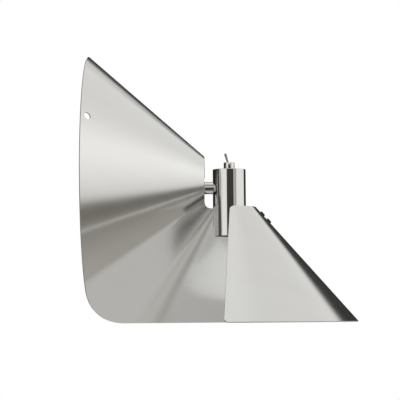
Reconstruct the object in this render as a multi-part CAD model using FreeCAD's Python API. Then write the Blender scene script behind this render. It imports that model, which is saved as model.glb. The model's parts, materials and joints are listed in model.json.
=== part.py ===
import FreeCAD, Part
import math
import os

# Wall sconce with a shade bent from one slit disc of sheet steel into two open cones.
# Millimetres. +X leads away from the wall, +Z is up, and the origin is the centre of the
# wall plate's back face, on the axis of the stem. Seen from the front of the open side,
# +X is to the right and +Y leads away.

V = FreeCAD.Vector

# ---- driving dimensions ----------------------------------------------------------------
# shade: a flat disc with a round hole, slit once along a radius and bent
BLANK_RADIUS = 200.0
HOLE_RADIUS = 38.0
SHEET = 1.5
CONE_HALF_ANGLE = 41.4        # degrees, axis to surface, the same for both cones
EDGE_OVERRUN = 3.9            # degrees that the free edge runs past the square position
SLIT_ANGLE = 0.7              # degrees of the flat disc lost in the slit
CORNER_RADIUS = 5.0
RIM_WALL_GAP = 2.0            # clear space between the shade's rim and the wall
APEX_RISE = 7.6               # shade apex above the stem axis
RIM_HOLE_RADIUS = 3.75
RIM_HOLE_INSET = 8.4          # from the rim to the hole's centre
RIM_HOLE_AZIMUTH = 63.5       # degrees round from the top, towards -Y

# housing: a drawn tube, closed on top, that holds the switch and the lampholder
HOUSING_RADIUS = 17.5
HOUSING_WALL = 1.5
HOUSING_LENGTH = 71.0
HOUSING_RISE = 19.5           # housing top above the stem axis
HOUSING_SETBACK = 2.0         # housing axis from the shade apex, towards the wall
HOUSING_EDGE = 0.6            # rounding of the housing's ends

# stem and its two hollow threaded nipples
STEM_RADIUS = 6.5
NIPPLE_RADIUS = 5.0
NIPPLE_BORE = 3.9
NIPPLE_GRIP = 12.0            # length of each nipple inside the stem
NUT_FLATS = 14.0
NUT_HEIGHT = 3.0
NIPPLE_TIP = 1.0              # nipple beyond its nut
LOCK_WASHER = 0.8
SADDLE_THICKNESS = 2.6        # from the housing's inner wall to the saddle's flat face

# canopy and wall plate
CANOPY_RADIUS = 48.0
CANOPY_DEPTH = 26.0
CANOPY_WALL = 1.2
CANOPY_EDGE = 3.0
CANOPY_WALL_GAP = 0.5
PLATE_THICKNESS = 2.0
PLATE_GAP = 0.8               # plate edge to canopy
SLOT_SPACING = 60.0
SLOT_LENGTH = 12.0
SLOT_RADIUS = 2.5
CABLE_HOLE_RADIUS = 7.0
CABLE_HOLE_RISE = 24.0
TAB_WIDTH = 14.0
TAB_LENGTH = 12.0
TAB_THICKNESS = 3.0
TAB_GAP = 1.8                 # canopy to the tab's outer face, at the middle
CANOPY_SCREW_RADIUS = 2.0
CANOPY_SCREW_HEAD_RADIUS = 3.5
CANOPY_SCREW_HEAD_HEIGHT = 2.6
CANOPY_SCREW_X = 8.0

# terminal block on the wall plate
BLOCK_WIDTH = 28.0
BLOCK_LENGTH = 17.0
BLOCK_HEIGHT = 14.0
BLOCK_DROP = 17.0             # block's upper face below the stem axis
POLE_PITCH = 9.0
POLE_BORE = 1.6
POLE_DEPTH = 5.0
TERMINAL_SCREW_RADIUS = 1.5
TERMINAL_SCREW_INSET = 3.2    # from the block's end to the screw
EARTH_OFFSET = 24.0           # earth screw from the cable hole's axis, towards +Y
SMALL_SCREW_RADIUS = 1.5
SMALL_HEAD_RADIUS = 3.0
SMALL_HEAD_HEIGHT = 1.6
SMALL_NUT_FLATS = 5.5
SMALL_NUT_HEIGHT = 2.4
RECESS_WIDTH = 0.9            # cross recess in each small head
RECESS_DEPTH = 1.0

# toggle switch in the housing's top
SWITCH_LENGTH = 13.0
SWITCH_WIDTH = 8.0
SWITCH_HEIGHT = 8.6
BUSHING_RADIUS = 3.0
BUSHING_BORE = 2.35
BUSHING_DEPTH = 3.6           # bushing below the housing's top wall
INNER_NUT_FLATS = 8.0
INNER_NUT_HEIGHT = 2.0
INNER_WASHER_RADIUS = 5.0
INNER_WASHER = 0.6
DRESS_NUT_RADIUS = 5.75
DRESS_NUT_HEIGHT = 7.5
DRESS_NUT_MOUTH = 2.85
DRESS_NUT_LIP = 0.6
DRESS_NUT_CHAMFER = 0.5
PIVOT_DEPTH = 4.5             # lever pivot below the dress nut's top
LEVER_LENGTH = 15.0
LEVER_BALL = 2.05
LEVER_NECK = 0.95
LEVER_TIP = 1.3
LEVER_TAIL = 3.4
LEVER_TILT = 16.0             # degrees each side of upright
LUG_PITCH = 7.0
LUG_LENGTH = 4.0
LUG_WIDTH = 2.0
LUG_THICKNESS = 0.8

# lampholder for a small screw lamp
HOLDER_GAP = 0.95             # lampholder to its bracket's tab
HOLDER_DROP = 11.7            # lampholder's top below the stem axis
HOLDER_FLOOR = 1.8            # between the lamp cavity and the nipple's thread
HOLDER_RECESS = 1.0           # holder's mouth inside the housing's lower end
SOCKET_RADIUS = 7.0
SOCKET_WALL = 0.7
SKIRT_RADIUS = 9.2
SKIRT_DEPTH = 9.0
SOCKET_HEADROOM = 4.0         # room over the sleeve for the spring tongue
HOLDER_THREAD_DEPTH = 7.0
BRACKET_PLATE = 1.5
BRACKET_TAB_WIDTH = 9.0
BRACKET_TAB_THICKNESS = 1.8
BRACKET_TAB_GAP = 1.0         # housing's inner wall to the tab, at the middle

# shade bracket between the housing and the lower cone
STRIP = 1.5
STRIP_WIDTH = 10.0
STRIP_END = 6.0               # strip beyond its outermost screw
SHADE_SCREW_INSET = 10.5      # from the shade's hole to the first shade screw, along the sheet
SHADE_SCREW_PITCH = 10.0
STRIP_CLEAR = 3.0             # strip's cross leg below the shade's hole
HOUSING_SCREW_GAP = 5.35      # first bracket screw below the cross leg's middle
HOUSING_SCREW_PITCH = 12.0

# internal leads
LEAD_RADIUS = 0.8
LEAD_SPREAD = 1.75            # leads from the stem axis

# named clearances
SEAT = 0.1                    # between pieces that are clamped together
THREAD = 0.1                  # radial, between a thread and its hole
CLEAR = 0.2                   # radial, between a screw and a plain hole

# ---- derived sizes ---------------------------------------------------------------------
half = math.radians(CONE_HALF_ANGLE)
sin_h = math.sin(half)
cos_h = math.cos(half)
apex_x = RIM_WALL_GAP + BLANK_RADIUS * cos_h + SHEET / 2 * sin_h
apex = V(apex_x, 0, APEX_RISE)
to_wall = V(-1, 0, 0)
down = V(0, 0, -1)
housing_x = apex_x - HOUSING_SETBACK
housing_bottom = HOUSING_RISE - HOUSING_LENGTH
housing_inner = HOUSING_RADIUS - HOUSING_WALL
stem_bore = NIPPLE_RADIUS + THREAD
canopy_front = CANOPY_WALL_GAP + CANOPY_DEPTH
canopy_inner = CANOPY_RADIUS - CANOPY_WALL
plate_radius = canopy_inner - PLATE_GAP
tab_face = canopy_inner - TAB_GAP
nut_face = HOUSING_RISE + DRESS_NUT_HEIGHT
pivot_z = nut_face - PIVOT_DEPTH
bushing_top = nut_face - DRESS_NUT_LIP - SEAT
switch_top = HOUSING_RISE - HOUSING_WALL - BUSHING_DEPTH
switch_bottom = switch_top - SWITCH_HEIGHT
holder_bottom = housing_bottom + HOLDER_RECESS
holder_top = -HOLDER_DROP
holder_cavity = holder_top - HOLDER_THREAD_DEPTH - HOLDER_FLOOR - holder_bottom
socket_length = holder_cavity - SKIRT_DEPTH - SOCKET_HEADROOM
plate_z = holder_top + SEAT                   # underside of the lampholder's bracket
tab_outer = housing_inner - BRACKET_TAB_GAP
tab_inner = tab_outer - BRACKET_TAB_THICKNESS
holder_radius = tab_inner - HOLDER_GAP
shade_screw_start = HOLE_RADIUS + SHADE_SCREW_INSET
cross_z = APEX_RISE - HOLE_RADIUS * cos_h - STRIP_CLEAR - STRIP / 2
upper_level = cross_z - HOUSING_SCREW_GAP
lower_level = upper_level - HOUSING_SCREW_PITCH


# ---- plain shapes ----------------------------------------------------------------------
def rod(start, axis, radius, length):
    """A solid cylinder from start along axis."""
    return Part.makeCylinder(radius, length, start, axis)


def pipe(start, axis, outer, inner, length):
    """A plain tube from start along axis."""
    bore = rod(start - axis, axis, inner, length + 2)
    return rod(start, axis, outer, length).cut(bore)


def block(x0, x1, y0, y1, z0, z1):
    """A box between the given planes."""
    return Part.makeBox(x1 - x0, y1 - y0, z1 - z0, V(x0, y0, z0))


def frame_of(axis):
    """Two unit directions square to axis and to each other."""
    side = axis.cross(V(0, 1, 0))
    if side.Length < 0.1:
        side = axis.cross(V(1, 0, 0))
    side.normalize()
    return side, axis.cross(side)


def hex_nut(start, axis, flats, height, bore):
    """A hexagon nut from start along axis, bored for its thread."""
    side, other = frame_of(axis)
    reach = flats / math.sqrt(3)
    corners = []
    for step in range(7):
        turn = math.radians(60 * step)
        corners.append(start + side * (reach * math.cos(turn)) + other * (reach * math.sin(turn)))
    prism = Part.Face(Part.makePolygon(corners)).extrude(axis * height)
    return prism.cut(rod(start - axis, axis, bore, height + 2))


def pan_screw(seat, axis, shank, length, head, head_height):
    """A pan-head screw: seat is under the head, and axis leads out through the head."""
    cap = rod(seat, axis, head, head_height)
    rim = [e for e in cap.Edges if abs((e.CenterOfMass - seat).dot(axis) - head_height) < 1e-6]
    cap = cap.makeFillet(min(0.45 * head_height, 0.4 * head), rim)
    side, other = frame_of(axis)
    top = seat + axis * (head_height - RECESS_DEPTH)
    reach = 0.55 * head
    for along, across in ((side, other), (other, side)):
        corner = top - along * reach - across * (RECESS_WIDTH / 2)
        outline = [corner, corner + along * (2 * reach),
                   corner + along * (2 * reach) + across * RECESS_WIDTH,
                   corner + across * RECESS_WIDTH, corner]
        cap = cap.cut(Part.Face(Part.makePolygon(outline)).extrude(axis * (RECESS_DEPTH + 1)))
    return cap.fuse(rod(seat - axis * length, axis, shank, length)).removeSplitter()


def bent_strip(points, thickness, width, bend):
    """A flat strip bent along points (x, z) on its middle line, centred on y = 0."""
    count = len(points)
    sides = ([], [])
    for index in range(count):
        here = V(points[index][0], 0, points[index][1])
        turns = []
        if index > 0:
            back = V(points[index - 1][0], 0, points[index - 1][1])
            turns.append((here - back).normalize())
        if index < count - 1:
            ahead = V(points[index + 1][0], 0, points[index + 1][1])
            turns.append((ahead - here).normalize())
        normals = [V(-t.z, 0, t.x) for t in turns]
        mitre = normals[0] + normals[-1]
        mitre.normalize()
        reach = thickness / 2 / mitre.dot(normals[0])
        sides[0].append(here + mitre * reach)
        sides[1].append(here - mitre * reach)
    ring = sides[0] + sides[1][::-1] + [sides[0][0]]
    ring = [V(p.x, -width / 2, p.z) for p in ring]
    strip = Part.Face(Part.makePolygon(ring)).extrude(V(0, width, 0))
    for index in range(1, count - 1):
        a = V(points[index - 1][0] - points[index][0], 0, points[index - 1][1] - points[index][1])
        b = V(points[index + 1][0] - points[index][0], 0, points[index + 1][1] - points[index][1])
        inward = a.normalize() + b.normalize()
        for corner in (sides[0][index], sides[1][index]):
            middle = V(points[index][0], 0, points[index][1])
            inside = (corner - middle).dot(inward) > 0
            radius = bend if inside else bend + thickness
            edges = [e for e in strip.Edges if is_bend(e, corner)]
            strip = strip.makeFillet(radius, edges)
    return strip


def is_bend(edge, corner):
    """True for the straight edge along y that passes through corner."""
    middle = edge.CenterOfMass
    flat = math.hypot(middle.x - corner.x, middle.z - corner.z)
    return flat < 1e-3 and abs(middle.y) < 1e-3


def lead(points, radius):
    """A round wire along points, its straight runs joined by tangent arcs."""
    edges = []
    start = points[0]
    for index in range(1, len(points) - 1):
        here = points[index]
        back = (points[index - 1] - here)
        ahead = (points[index + 1] - here)
        shorter = min(back.Length, ahead.Length)
        back.normalize()
        ahead.normalize()
        trim = 0.45 * shorter
        chord = back + ahead
        middle_turn = math.acos(max(-1.0, min(1.0, back.dot(ahead)))) / 2
        bend = trim * math.tan(middle_turn)
        chord.normalize()
        centre = here + chord * (trim / math.cos(middle_turn))
        enter = here + back * trim
        leave = here + ahead * trim
        nearest = centre - chord * bend
        edges.append(Part.LineSegment(start, enter).toShape())
        edges.append(Part.Arc(enter, nearest, leave).toShape())
        start = leave
    edges.append(Part.LineSegment(start, points[-1]).toShape())
    path = Part.Wire(edges)
    direction = (points[1] - points[0]).normalize()
    ring = Part.Wire(Part.makeCircle(radius, points[0], direction))
    return path.makePipeShell([ring], True, False)


def group(shapes):
    """Several separate solids in one node."""
    return Part.makeCompound(shapes)


# ---- shade -----------------------------------------------------------------------------
def wall_ruling(azimuth):
    """Unit direction of a straight line on the wall-side cone, from the top towards -Y."""
    turn = math.radians(azimuth)
    return V(-cos_h, -sin_h * math.sin(turn), sin_h * math.cos(turn))


def wall_normal(azimuth):
    """Outward unit normal of the wall-side cone along that line."""
    turn = math.radians(azimuth)
    return V(sin_h, -cos_h * math.sin(turn), cos_h * math.cos(turn))


def lower_ruling(azimuth):
    """Unit direction of a straight line on the lower cone, from +X towards +Y."""
    turn = math.radians(azimuth)
    return V(sin_h * math.cos(turn), sin_h * math.sin(turn), -cos_h)


def lower_normal(azimuth):
    """Outward unit normal of the lower cone along that line."""
    turn = math.radians(azimuth)
    return V(cos_h * math.cos(turn), cos_h * math.sin(turn), sin_h)


def sheet_section(ruling, normal):
    """The sheet's cross section along one straight line of a cone."""
    inner = apex + ruling * HOLE_RADIUS
    outer = apex + ruling * BLANK_RADIUS
    step = normal * (SHEET / 2)
    return Part.Face(Part.makePolygon([inner - step, outer - step, outer + step, inner + step, inner - step]))


def shade():
    """The bent disc: a cone to the wall, a flat web, and a cone that opens downward."""
    join = 180 - math.degrees(math.asin(math.sqrt(math.cos(2 * half)) / cos_h))
    first = wall_ruling(join)
    last = lower_ruling(join)
    web_angle = math.degrees(first.getAngle(last))
    lower_span = join + 90 + EDGE_OVERRUN
    wall_span = (360 - SLIT_ANGLE - web_angle) / sin_h - lower_span
    wall_cone = sheet_section(first, wall_normal(join)).revolve(apex, to_wall, wall_span)
    lower_cone = sheet_section(last, lower_normal(join)).revolve(apex, down, lower_span)
    web_normal = first.cross(last)
    web_normal.normalize()
    middle = first + last
    middle.normalize()
    shift = web_normal * (SHEET / 2)
    ends = [apex + first * HOLE_RADIUS - shift, apex + first * BLANK_RADIUS - shift,
            apex + last * BLANK_RADIUS - shift, apex + last * HOLE_RADIUS - shift]
    outline = Part.Wire([
        Part.LineSegment(ends[0], ends[1]).toShape(),
        Part.Arc(ends[1], apex + middle * BLANK_RADIUS - shift, ends[2]).toShape(),
        Part.LineSegment(ends[2], ends[3]).toShape(),
        Part.Arc(ends[3], apex + middle * HOLE_RADIUS - shift, ends[0]).toShape()])
    web = Part.Face(outline).extrude(web_normal * SHEET)
    body = wall_cone.fuse([web, lower_cone])
    free_ends = [wall_ruling(join - wall_span), lower_ruling(join - lower_span)]
    corners = [apex + ruling * reach for ruling in free_ends for reach in (HOLE_RADIUS, BLANK_RADIUS)]
    for corner in corners:
        edges = [e for e in body.Edges if (e.CenterOfMass - corner).Length < 1e-3 and e.Length < 1.01 * SHEET]
        body = body.makeFillet(CORNER_RADIUS, edges)
    for place, normal, radius in shade_holes():
        body = body.cut(rod(place - normal * (2 * SHEET), normal, radius, 4 * SHEET))
    return body


def shade_holes():
    """Centre, outward normal and radius of each hole in the shade."""
    holes = [(apex + wall_ruling(RIM_HOLE_AZIMUTH) * (BLANK_RADIUS - RIM_HOLE_INSET),
              wall_normal(RIM_HOLE_AZIMUTH), RIM_HOLE_RADIUS)]
    for place in shade_screw_places():
        holes.append((place, lower_normal(0), SMALL_SCREW_RADIUS + CLEAR))
    return holes


def shade_screw_places():
    """Points in the middle of the sheet where the shade screws pass."""
    starts = (shade_screw_start, shade_screw_start + SHADE_SCREW_PITCH)
    return [apex + lower_ruling(0) * reach for reach in starts]


# ---- shade bracket ---------------------------------------------------------------------
def strip_offset():
    """Distance from the sheet's middle to the strip's near face, clear of the cone's curve."""
    nearest = shade_screw_start - STRIP_END
    curve = (STRIP_WIDTH / 2) ** 2 / (2 * nearest * math.tan(half))
    return SHEET / 2 + curve + SEAT


def strip_points():
    """Corners of the strip's middle line, as x and z."""
    leg_x = housing_x + HOUSING_RADIUS + SEAT + STRIP / 2
    foot_z = lower_level - STRIP_END
    inset = lower_normal(0) * (strip_offset() + STRIP / 2)
    base = apex - inset
    ruling = lower_ruling(0)
    cross_reach = (cross_z - base.z) / ruling.z
    corner = base + ruling * cross_reach
    end = base + ruling * (shade_screw_start + SHADE_SCREW_PITCH + STRIP_END)
    return [(leg_x, foot_z), (leg_x, cross_z), (corner.x, corner.z), (end.x, end.z)]


def housing_screw_levels():
    """Heights of the screws that hold the bracket to the housing."""
    return [upper_level, lower_level]


def shade_bracket():
    """The bent strip that carries the shade on the housing."""
    strip = bent_strip(strip_points(), STRIP, STRIP_WIDTH, STRIP)
    for place in shade_screw_places():
        start = place - lower_normal(0) * (strip_offset() + STRIP + 1)
        strip = strip.cut(rod(start, lower_normal(0), SMALL_SCREW_RADIUS + CLEAR, STRIP + 2))
    for level in housing_screw_levels():
        start = V(housing_x + HOUSING_RADIUS - 1, 0, level)
        strip = strip.cut(rod(start, V(1, 0, 0), SMALL_SCREW_RADIUS + CLEAR, STRIP + 3))
    return strip


def shade_screws():
    """Two pan screws through the shade and its bracket."""
    normal = lower_normal(0)
    stack = SHEET / 2 + strip_offset() + STRIP + SEAT + SMALL_NUT_HEIGHT + SEAT
    screws = []
    for place in shade_screw_places():
        seat = place + normal * (SHEET / 2 + SEAT)
        screws.append(pan_screw(seat, normal, SMALL_SCREW_RADIUS, stack + SEAT,
                                SMALL_HEAD_RADIUS, SMALL_HEAD_HEIGHT))
    return group(screws)


def shade_nuts():
    """The nuts of the shade screws, under the bracket."""
    normal = lower_normal(0)
    depth = strip_offset() + STRIP + SEAT + SMALL_NUT_HEIGHT
    bore = SMALL_SCREW_RADIUS + THREAD
    return group([hex_nut(place - normal * depth, normal, SMALL_NUT_FLATS, SMALL_NUT_HEIGHT, bore)
                  for place in shade_screw_places()])


def bracket_screws():
    """Two pan screws through the bracket and the housing into the lampholder's bracket."""
    out = V(1, 0, 0)
    seat_x = housing_x + HOUSING_RADIUS + SEAT + STRIP + SEAT
    length = seat_x - (housing_x + tab_inner)
    return group([pan_screw(V(seat_x, 0, level), out, SMALL_SCREW_RADIUS, length,
                            SMALL_HEAD_RADIUS, SMALL_HEAD_HEIGHT) for level in housing_screw_levels()])


# ---- housing ---------------------------------------------------------------------------
def housing():
    """The tube, closed on top, with holes for the switch, the nipple and the screws."""
    base = V(housing_x, 0, housing_bottom)
    up = V(0, 0, 1)
    shell = rod(base, up, HOUSING_RADIUS, HOUSING_LENGTH)
    ends = [e for e in shell.Edges if e.Closed]
    shell = shell.makeFillet(HOUSING_EDGE, ends)
    shell = shell.cut(rod(base - up, up, housing_inner, HOUSING_LENGTH - HOUSING_WALL + 1))
    shell = shell.cut(rod(V(housing_x, 0, 0), up, BUSHING_RADIUS + CLEAR, HOUSING_RISE + 1))
    side = V(housing_x - HOUSING_RADIUS - 1, 0, 0)
    shell = shell.cut(rod(side, V(1, 0, 0), NIPPLE_RADIUS + CLEAR, HOUSING_WALL + 4))
    for level in housing_screw_levels():
        start = V(housing_x + housing_inner - 2, 0, level)
        shell = shell.cut(rod(start, V(1, 0, 0), SMALL_SCREW_RADIUS + CLEAR, HOUSING_WALL + 4))
    return shell


def stem_tube():
    """The stem, its outer end shaped to sit on the housing."""
    start = V(canopy_front + SEAT, 0, 0)
    length = housing_x - start.x
    tube = pipe(start, V(1, 0, 0), STEM_RADIUS, stem_bore, length)
    seat = rod(V(housing_x, 0, -3 * STEM_RADIUS), V(0, 0, 1), HOUSING_RADIUS + SEAT, 6 * STEM_RADIUS)
    return tube.cut(seat)


def housing_nipple():
    """The hollow thread that joins the stem to the housing."""
    start = housing_x - HOUSING_RADIUS - NIPPLE_GRIP
    end = saddle_face() + SEAT + NUT_HEIGHT + NIPPLE_TIP
    return pipe(V(start, 0, 0), V(1, 0, 0), NIPPLE_RADIUS, NIPPLE_BORE, end - start)


def saddle_face():
    """The flat face of the saddle washer, where the nut bears."""
    return housing_x - housing_inner + SADDLE_THICKNESS


def saddle_washer():
    """The washer with one round face that fits the housing's inner wall."""
    reach = NUT_FLATS / math.sqrt(3)
    start = V(housing_x - HOUSING_RADIUS, 0, 0)
    length = saddle_face() - start.x
    blank = pipe(start, V(1, 0, 0), reach, NIPPLE_RADIUS + CLEAR, length)
    inside = rod(V(housing_x, 0, -2 * reach), V(0, 0, 1), housing_inner - SEAT, 4 * reach)
    return blank.common(inside)


def housing_nut():
    """The nut inside the housing."""
    start = V(saddle_face() + SEAT, 0, 0)
    return hex_nut(start, V(1, 0, 0), NUT_FLATS, NUT_HEIGHT, NIPPLE_RADIUS + THREAD)


# ---- switch ----------------------------------------------------------------------------
def switch_body():
    """The switch's moulded case."""
    case = block(housing_x - SWITCH_LENGTH / 2, housing_x + SWITCH_LENGTH / 2,
                 -SWITCH_WIDTH / 2, SWITCH_WIDTH / 2, switch_bottom, switch_top)
    uprights = [e for e in case.Edges if abs(e.BoundBox.ZLength - SWITCH_HEIGHT) < 1e-6]
    return case.makeFillet(SHEET / 2, uprights)


def switch_bushing():
    """The threaded neck that passes through the housing's top."""
    start = V(housing_x, 0, switch_top)
    return pipe(start, V(0, 0, 1), BUSHING_RADIUS, BUSHING_BORE, bushing_top - switch_top)


def switch_inner_nut():
    """The nut under the housing's top."""
    start = V(housing_x, 0, HOUSING_RISE - HOUSING_WALL - INNER_WASHER - INNER_NUT_HEIGHT)
    return hex_nut(start, V(0, 0, 1), INNER_NUT_FLATS, INNER_NUT_HEIGHT, BUSHING_RADIUS + THREAD)


def switch_washer():
    """The lock washer between that nut and the housing's top."""
    start = V(housing_x, 0, HOUSING_RISE - HOUSING_WALL - INNER_WASHER)
    return pipe(start, V(0, 0, 1), INNER_WASHER_RADIUS, BUSHING_RADIUS + CLEAR, INNER_WASHER)


def switch_dress_nut():
    """The round nut on top, with a lip round the lever and two spanner slots."""
    up = V(0, 0, 1)
    base = V(housing_x, 0, HOUSING_RISE)
    nut = rod(base, up, DRESS_NUT_RADIUS, DRESS_NUT_HEIGHT)
    nut = nut.makeChamfer(DRESS_NUT_CHAMFER, [e for e in nut.Edges if e.Closed])
    nut = nut.cut(rod(base - up, up, BUSHING_RADIUS + THREAD, DRESS_NUT_HEIGHT - DRESS_NUT_LIP + 1))
    nut = nut.cut(rod(base, up, DRESS_NUT_MOUTH, DRESS_NUT_HEIGHT + 1))
    slot = block(housing_x - RECESS_WIDTH, housing_x + RECESS_WIDTH, -DRESS_NUT_RADIUS - 1,
                 DRESS_NUT_RADIUS + 1, nut_face - DRESS_NUT_LIP, nut_face + 1)
    return nut.cut(slot)


def switch_lever():
    """The bat lever on its ball, tilted to its rest side."""
    ball = Part.makeSphere(LEVER_BALL)
    taper = Part.makeCone(LEVER_NECK, LEVER_TIP, LEVER_LENGTH - LEVER_TIP)
    tip = Part.makeSphere(LEVER_TIP, V(0, 0, LEVER_LENGTH - LEVER_TIP))
    tail = rod(V(0, 0, -LEVER_TAIL), V(0, 0, 1), LEVER_NECK, LEVER_TAIL)
    lever = taper.fuse([ball, tip, tail]).removeSplitter()
    lever.rotate(V(0, 0, 0), V(0, 1, 0), -LEVER_TILT)
    lever.translate(V(housing_x, 0, pivot_z))
    return lever


def lug_places():
    """The x of each terminal lug."""
    return [housing_x - LUG_PITCH / 2, housing_x + LUG_PITCH / 2]


def switch_lugs():
    """Two solder lugs under the case."""
    return group([block(x - LUG_THICKNESS / 2, x + LUG_THICKNESS / 2, -LUG_WIDTH / 2, LUG_WIDTH / 2,
                        switch_bottom - LUG_LENGTH, switch_bottom) for x in lug_places()])


# ---- lampholder ------------------------------------------------------------------------
def holder_entries():
    """Where the two leads enter the lampholder, from the housing's axis."""
    reach = (holder_radius + NUT_FLATS / math.sqrt(3)) / 2
    return [(-0.4 * reach, 0.9 * reach), (0.4 * reach, -0.9 * reach)]


def lampholder_bracket():
    """The plate over the lampholder, with its tab down the housing's wall."""
    up = V(0, 0, 1)
    plate = rod(V(housing_x, 0, plate_z), up, housing_inner - 4 * SEAT, BRACKET_PLATE)
    tab = block(housing_x + tab_inner, housing_x + tab_outer, -BRACKET_TAB_WIDTH / 2,
                BRACKET_TAB_WIDTH / 2, housing_screw_levels()[1] - STRIP_END / 2, plate_z + BRACKET_PLATE)
    part = plate.fuse(tab).removeSplitter()
    part = part.cut(rod(V(housing_x, 0, plate_z - 1), up, NIPPLE_RADIUS + CLEAR, BRACKET_PLATE + 2))
    for x, y in holder_entries():
        part = part.cut(rod(V(housing_x + x, y, plate_z - 1), up, 2 * LEAD_RADIUS, BRACKET_PLATE + 2))
    for level in housing_screw_levels():
        start = V(housing_x + tab_inner - 1, 0, level)
        part = part.cut(rod(start, V(1, 0, 0), SMALL_SCREW_RADIUS + THREAD, BRACKET_TAB_THICKNESS + 2))
    return part


def lampholder_body():
    """The moulded holder with its thread, lead entries and lamp cavity."""
    up = V(0, 0, 1)
    body = rod(V(housing_x, 0, holder_bottom), up, holder_radius, holder_top - holder_bottom)
    thread_floor = holder_top - HOLDER_THREAD_DEPTH
    body = body.cut(rod(V(housing_x, 0, thread_floor), up, NIPPLE_RADIUS + THREAD, HOLDER_THREAD_DEPTH + 1))
    for x, y in holder_entries():
        start = V(housing_x + x, y, holder_top - POLE_DEPTH)
        body = body.cut(rod(start, up, LEAD_RADIUS + CLEAR, POLE_DEPTH + 1))
    mouth = V(housing_x, 0, holder_bottom - 1)
    body = body.cut(rod(mouth, up, SKIRT_RADIUS, SKIRT_DEPTH + 1))
    return body.cut(rod(mouth, up, SOCKET_RADIUS + SOCKET_WALL + SEAT, holder_cavity + 1))


def lampholder_sleeve():
    """The metal screw sleeve that takes the lamp's cap."""
    start = V(housing_x, 0, holder_bottom + SKIRT_DEPTH)
    return pipe(start, V(0, 0, 1), SOCKET_RADIUS + SOCKET_WALL, SOCKET_RADIUS, socket_length)


def lampholder_contact():
    """The spring tongue at the top of the cavity."""
    roof = holder_bottom + holder_cavity
    thickness = LUG_THICKNESS / 2
    level = roof - SEAT - thickness / 2
    reach = 0.6 * SOCKET_RADIUS
    points = [(housing_x - reach, level), (housing_x + reach, level),
              (housing_x - reach / 2, level - 3 * LUG_WIDTH / 2)]
    return bent_strip(points, thickness, 2 * LUG_WIDTH, thickness)


def lampholder_nipple():
    """The hollow thread that hangs the lampholder on its bracket."""
    start = holder_top - HOLDER_THREAD_DEPTH + SEAT
    end = plate_z + BRACKET_PLATE + SEAT + NUT_HEIGHT + NIPPLE_TIP
    return pipe(V(housing_x, 0, start), V(0, 0, 1), NIPPLE_RADIUS, NIPPLE_BORE, end - start)


def lampholder_nut():
    """The nut above the bracket's plate."""
    start = V(housing_x, 0, plate_z + BRACKET_PLATE + SEAT)
    return hex_nut(start, V(0, 0, 1), NUT_FLATS, NUT_HEIGHT, NIPPLE_RADIUS + THREAD)


# ---- wall side -------------------------------------------------------------------------
def wall_plate():
    """The round plate with its wall slots, cable hole and two screw tabs."""
    out = V(1, 0, 0)
    plate = rod(V(0, 0, 0), out, plate_radius, PLATE_THICKNESS)
    for side in (1, -1):
        z0 = tab_face - TAB_THICKNESS if side > 0 else -tab_face
        tab = block(0, PLATE_THICKNESS + TAB_LENGTH, -TAB_WIDTH / 2, TAB_WIDTH / 2, z0, z0 + TAB_THICKNESS)
        plate = plate.fuse(tab)
        start = V(CANOPY_WALL_GAP + CANOPY_SCREW_X, 0, z0 - 1)
        plate = plate.cut(rod(start, V(0, 0, 1), CANOPY_SCREW_RADIUS + THREAD, TAB_THICKNESS + 2))
        plate = plate.cut(wall_slot(side * SLOT_SPACING / 2))
    plate = plate.cut(rod(V(-1, 0, CABLE_HOLE_RISE), out, CABLE_HOLE_RADIUS, PLATE_THICKNESS + 2))
    for place in plate_screw_places():
        plate = plate.cut(rod(V(-1, place.y, place.z), out, SMALL_SCREW_RADIUS + THREAD, PLATE_THICKNESS + 2))
    return plate.removeSplitter()


def wall_slot(y):
    """One slot for a wall screw, long in y."""
    straight = SLOT_LENGTH / 2 - SLOT_RADIUS
    depth = PLATE_THICKNESS + 2
    slot = block(-1, depth - 1, y - straight, y + straight, -SLOT_RADIUS, SLOT_RADIUS)
    for end in (y - straight, y + straight):
        slot = slot.fuse(rod(V(-1, end, 0), V(1, 0, 0), SLOT_RADIUS, depth))
    return slot


def plate_screw_places():
    """Where small screws enter the plate: the earth screw, then the block's screw."""
    return [V(0, EARTH_OFFSET, CABLE_HOLE_RISE),
            V(0, POLE_PITCH / 2, -BLOCK_DROP - BLOCK_LENGTH / 2)]


def canopy():
    """The drawn cup over the wall plate."""
    out = V(1, 0, 0)
    start = V(CANOPY_WALL_GAP, 0, 0)
    cup = rod(start, out, CANOPY_RADIUS, CANOPY_DEPTH)
    front = [e for e in cup.Edges if abs(e.CenterOfMass.x - canopy_front) < 1e-6]
    cup = cup.makeFillet(CANOPY_EDGE, front)
    hollow = rod(start - out, out, canopy_inner, CANOPY_DEPTH - CANOPY_WALL + 1)
    front = [e for e in hollow.Edges if abs(e.CenterOfMass.x - canopy_front + CANOPY_WALL) < 1e-6]
    hollow = hollow.makeFillet(CANOPY_EDGE - CANOPY_WALL, front)
    cup = cup.cut(hollow)
    cup = cup.cut(rod(V(0, 0, 0), out, NIPPLE_RADIUS + CLEAR, canopy_front + 1))
    across = V(CANOPY_WALL_GAP + CANOPY_SCREW_X, 0, -CANOPY_RADIUS - 1)
    return cup.cut(rod(across, V(0, 0, 1), CANOPY_SCREW_RADIUS + CLEAR, 2 * CANOPY_RADIUS + 2))


def canopy_screws():
    """Two screws that hold the canopy on the plate's tabs, above and below."""
    length = CANOPY_RADIUS + SEAT - (tab_face - TAB_THICKNESS)
    screws = []
    for side in (1, -1):
        seat = V(CANOPY_WALL_GAP + CANOPY_SCREW_X, 0, side * (CANOPY_RADIUS + SEAT))
        screws.append(pan_screw(seat, V(0, 0, side), CANOPY_SCREW_RADIUS, length,
                                CANOPY_SCREW_HEAD_RADIUS, CANOPY_SCREW_HEAD_HEIGHT))
    return group(screws)


def canopy_nut_face():
    """The canopy washer's inner face, where the nut bears."""
    return canopy_front - CANOPY_WALL - SEAT - LOCK_WASHER


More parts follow.
